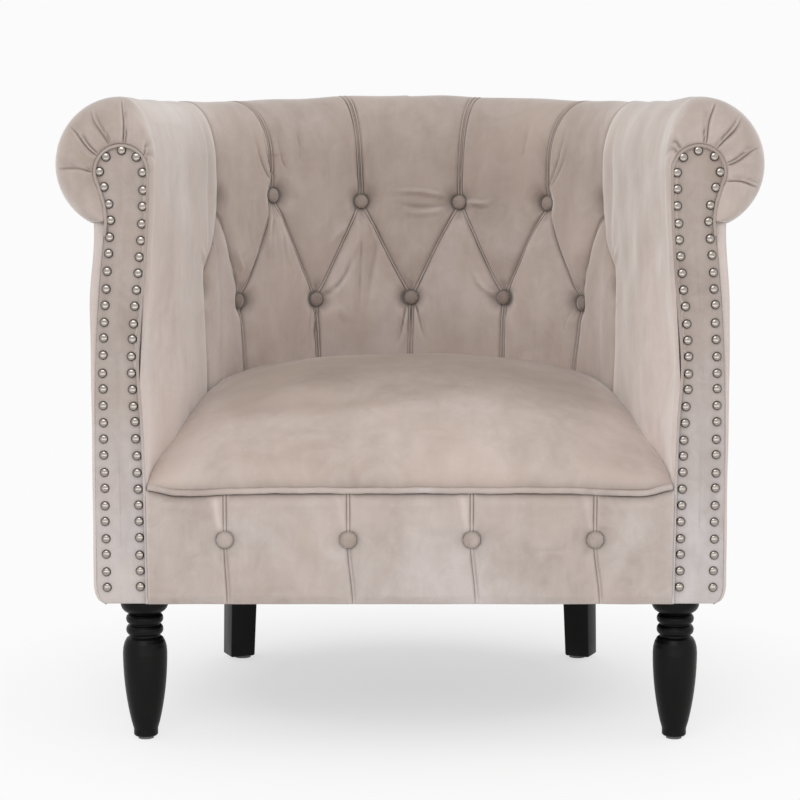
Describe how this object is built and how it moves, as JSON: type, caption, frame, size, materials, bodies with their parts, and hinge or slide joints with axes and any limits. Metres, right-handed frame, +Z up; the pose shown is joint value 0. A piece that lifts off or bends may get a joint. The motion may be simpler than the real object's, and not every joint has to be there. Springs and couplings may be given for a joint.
{
  "type": "tufted club chair",
  "caption": "Round-backed club chair with rolled top edge, deep-buttoned back, sprung tight seat, nail-trimmed scroll panels and turned front legs.",
  "frame": {"origin": "on the floor, under the middle of the chair's outside box", "axes": "+Z up, the seat faces -Y, +X is the sitter's left side seen from the chair, and the chair is mirrored about X = 0"},
  "size_m": [0.8008, 0.6827, 0.77],
  "materials": {
    "velvet": "light greige upholstery velvet",
    "frame_wood": "plain beech, unfinished, hidden",
    "inner_cloth": "woven webbing and hessian, hidden",
    "spring_steel": "plain, hidden",
    "nail_metal": "polished pewter-coloured heads",
    "leg_black": "black satin lacquer",
    "glide_plastic": "moulded glide",
    "dust_cloth": "black non-woven cloth"
  },
  "bodies": {
    "root": {"front_rail": "frame_wood", "side_rail_left": "frame_wood", "side_rail_right": "frame_wood", "back_rail": "frame_wood", "front_post_left": "frame_wood", "front_post_right": "frame_wood", "arm_top_rail_left": "frame_wood", "arm_top_rail_right": "frame_wood", "back_top_rail": "frame_wood", "back_uprights": "frame_wood", "corner_blocks": "frame_wood", "arm_liner_left": "inner_cloth", "arm_liner_right": "inner_cloth", "back_webbing": "inner_cloth", "seat_springs": "spring_steel", "spring_clips": "spring_steel", "seat_deck": "inner_cloth", "seat_cushion": "velvet", "seat_welt": "velvet", "apron_cover": "velvet", "apron_buttons": "velvet", "inside_back": "velvet", "inside_arm_left": "velvet", "inside_arm_right": "velvet", "upper_buttons": "velvet", "lower_buttons": "velvet", "outside_back": "velvet", "outside_arm_left": "velvet", "outside_arm_right": "velvet", "scroll_panel_left": "velvet", "scroll_panel_right": "velvet", "panel_cord_left": "velvet", "panel_cord_right": "velvet", "panel_nails_left": "nail_metal", "panel_nails_right": "nail_metal", "dust_cover": "dust_cloth", "front_leg_left": "leg_black", "front_leg_right": "leg_black", "rear_leg_left": "leg_black", "rear_leg_right": "leg_black", "leg_bolts": "spring_steel", "tee_nuts": "spring_steel", "glides": "glide_plastic"}
  },
  "joints": []
}
